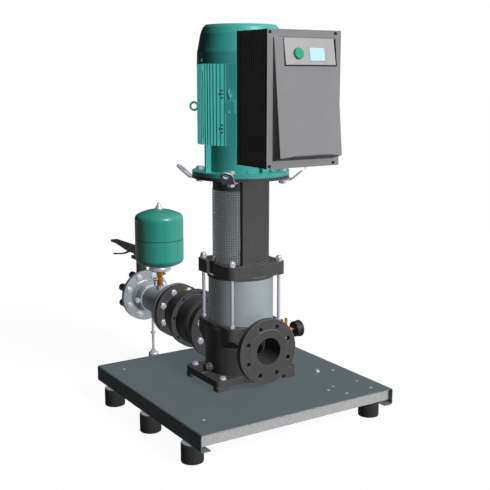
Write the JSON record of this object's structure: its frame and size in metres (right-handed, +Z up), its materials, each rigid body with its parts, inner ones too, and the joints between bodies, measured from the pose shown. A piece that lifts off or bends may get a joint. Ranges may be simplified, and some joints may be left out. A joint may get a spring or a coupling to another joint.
{
  "type": "booster pump set",
  "caption": "Pressure booster set: upright multistage pump with finned motor and inverter, check valve, small diaphragm vessel and butterfly valve on a folded base plate.",
  "frame": {"origin": "on the floor, under the middle of the whole set's bounding box", "axes": "+Z up the pump shaft, +Y along the discharge pipework, +X to the right seen from the inverter side"},
  "size_m": [0.811, 1.5358, 1.388],
  "materials": {
    "slate_paint": "satin",
    "zinc_sheet": "satin",
    "foot_rubber": "matte",
    "black_casting": "satin",
    "stainless": "satin",
    "zinc_fastener": "satin",
    "machined_steel": "satin",
    "motor_paint": "satin",
    "winding_core": "matte",
    "fan_plastic": "matte",
    "dark_housing": "matte",
    "grey_cover": "satin",
    "panel_grey": "satin",
    "display_glass": "gloss",
    "knob_green": "satin",
    "brass_parts": "satin",
    "seal_rubber": "matte",
    "vessel_paint": "gloss",
    "gauge_black": "satin",
    "gauge_pane": "gloss",
    "needle_black": "matte",
    "lever_paint": "satin"
  },
  "bodies": {
    "set": {"base_bolts": "zinc_fastener", "base_plate": "slate_paint", "butterfly_body": "black_casting", "butterfly_liner": "seal_rubber", "casing_plugs": "zinc_fastener", "check_inlet_body": "black_casting", "check_outlet_body": "black_casting", "check_plug": "brass_parts", "check_ring_bolts": "zinc_fastener", "check_spring": "machined_steel", "control_panel": "panel_grey", "cover_screws": "zinc_fastener", "discharge_pipe": "stainless", "display_window": "display_glass", "end_skirts": "zinc_sheet", "fan_cover": "motor_paint", "flange_bolts": "zinc_fastener", "flange_gaskets": "seal_rubber", "gauge_case": "gauge_black", "gauge_cock": "brass_parts", "gauge_glass": "gauge_pane", "guard_left": "stainless", "guard_right": "stainless", "inverter_adapter": "motor_paint", "inverter_cover": "grey_cover", "inverter_housing": "dark_housing", "lantern": "black_casting", "lifting_lugs": "zinc_fastener", "motor_bearings": "machined_steel", "motor_bolts": "zinc_fastener", "motor_end_shields": "motor_paint", "motor_eyes": "zinc_fastener", "motor_frame": "motor_paint", "outer_sleeve": "stainless", "pipe_support": "machined_steel", "pump_casing": "black_casting", "rubber_feet": "foot_rubber", "stage_bowls": "stainless", "stator_core": "winding_core", "tie_rod_nuts": "zinc_fastener", "tie_rods": "stainless", "vessel_fittings": "vessel_paint", "vessel_membrane": "seal_rubber", "vessel_shells": "vessel_paint", "vessel_tap": "brass_parts"},
    "rotor": {"pump_shaft": "stainless", "impellers": "stainless", "shaft_seal": "machined_steel", "coupling": "machined_steel", "motor_rotor": "machined_steel", "cooling_fan": "fan_plastic"},
    "valve_disc": {"butterfly_disc": "stainless", "valve_lever": "lever_paint"},
    "trigger": {"lever_trigger": "lever_paint"},
    "spindle": {"knob_spindle": "machined_steel"},
    "knob": {"control_knob": "knob_green"},
    "closing_disc": {"check_disc": "stainless"},
    "needle": {"gauge_needle": "needle_black"},
    "cock": {"cock_handle": "brass_parts"},
    "drain_tap": {"tap_handle": "machined_steel"}
  },
  "joints": [
    {"name": "rotor_spin", "type": "hinge", "parent": "set", "child": "rotor", "pos_m": [0.011, -0.34375, 0.7], "axis": [0, 0, 1], "continuous": true},
    {"name": "valve_turn", "type": "hinge", "parent": "set", "child": "valve_disc", "pos_m": [0.011, 0.47825, 0.267], "axis": [0, 0, 1], "range_deg": [-90, 0]},
    {"name": "trigger_squeeze", "type": "hinge", "parent": "valve_disc", "child": "trigger", "pos_m": [0.011, 0.55325, 0.449], "axis": [1, 0, 0], "range_deg": [0, 10], "stiffness_Nm_per_rad": 2, "springref_deg": -8.59},
    {"name": "knob_press", "type": "slide", "parent": "set", "child": "spindle", "axis": [0, 0.9833, -0.1822], "range_m": [0, 0.002], "stiffness_N_per_m": 1500, "springref_m": -0.001},
    {"name": "knob_turn", "type": "hinge", "parent": "spindle", "child": "knob", "pos_m": [-0.0227, -0.72513, 1.284], "axis": [0, -0.9833, 0.1822], "continuous": true},
    {"name": "check_lift", "type": "slide", "parent": "set", "child": "closing_disc", "axis": [0, 1, 0], "range_m": [0, 0.025], "stiffness_N_per_m": 400, "springref_m": -0.02, "deforming": ["check_spring"]},
    {"name": "needle_turn", "type": "hinge", "parent": "set", "child": "needle", "pos_m": [0.27, -0.34375, 0.267], "axis": [-1, 0, 0], "range_deg": [0, 270], "stiffness_Nm_per_rad": 0.0005, "springref_deg": -17.19},
    {"name": "cock_turn", "type": "hinge", "parent": "set", "child": "cock", "pos_m": [0.201, -0.36075, 0.267], "axis": [0, 1, 0], "range_deg": [-90, 0]},
    {"name": "tap_turn", "type": "hinge", "parent": "set", "child": "drain_tap", "pos_m": [-0.015, 0.29895, 0.36715], "axis": [1, 0, 0], "range_deg": [0, 90]}
  ]
}
